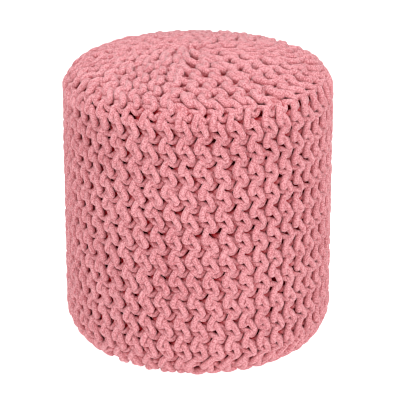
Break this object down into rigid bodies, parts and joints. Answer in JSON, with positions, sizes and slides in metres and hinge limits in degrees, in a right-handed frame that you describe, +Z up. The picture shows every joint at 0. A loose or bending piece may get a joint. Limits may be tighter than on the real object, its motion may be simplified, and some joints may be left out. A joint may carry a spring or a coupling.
{
  "type": "knitted pouf",
  "caption": "Drum-shaped filled floor cushion with a cover knitted from thick cotton cord, for sitting on or for resting feet.",
  "frame": {"origin": "middle of the flat base, on the surface that the pouf stands on", "axes": "+Z up along the drum's axis, -Y towards the side that faces the camera, +X to its right"},
  "size_m": [0.38, 0.38, 0.43],
  "materials": {
    "cotton_cord": "matt dusty pink cotton cord, knitted in garter stitch"
  },
  "bodies": {
    "root": {"knitted_pouf": "cotton_cord"}
  },
  "joints": []
}
